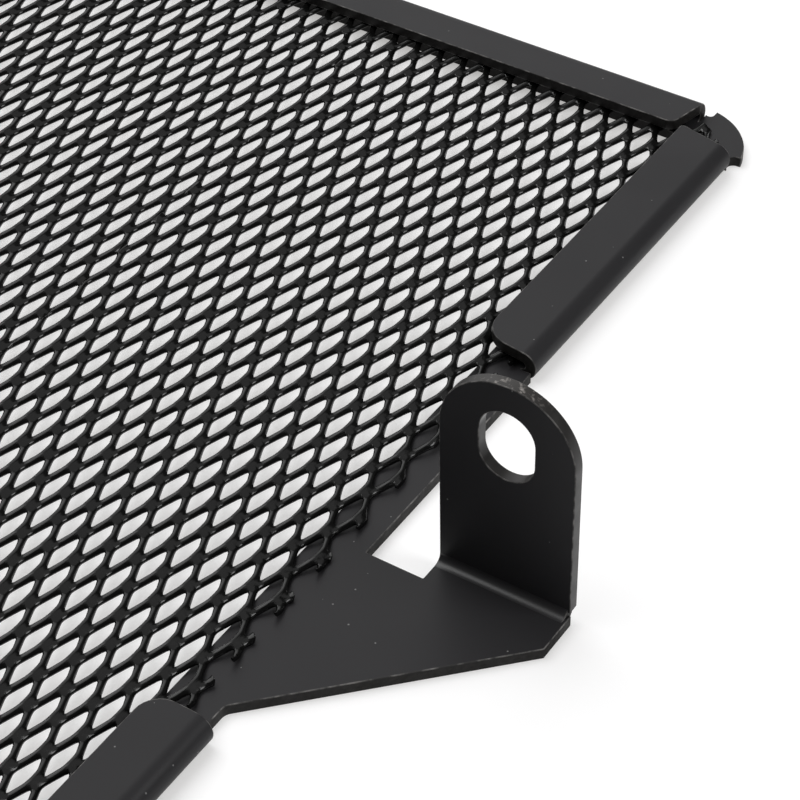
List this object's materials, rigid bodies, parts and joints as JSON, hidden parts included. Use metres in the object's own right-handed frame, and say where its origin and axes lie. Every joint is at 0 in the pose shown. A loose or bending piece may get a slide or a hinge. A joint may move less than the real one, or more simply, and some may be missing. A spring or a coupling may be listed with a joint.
{
  "type": "motorcycle radiator guard",
  "caption": "Folded sheet-metal frame whose hemmed rim holds an expanded-metal mesh, with a slotted lug on each side that bolts it in front of a radiator.",
  "frame": {"origin": "centre of the front face, on the plane that the front strip lies on", "axes": "+X across the guard towards its right-hand lug seen from behind, +Y up the guard, +Z back towards the radiator, the way the lugs stand"},
  "size_m": [0.3854, 0.2234, 0.0371],
  "materials": {
    "frame_coat": "satin",
    "mesh_coat": "semi-gloss"
  },
  "bodies": {
    "root": {"guard_frame": "frame_coat", "mesh_panel": "mesh_coat"}
  },
  "joints": []
}
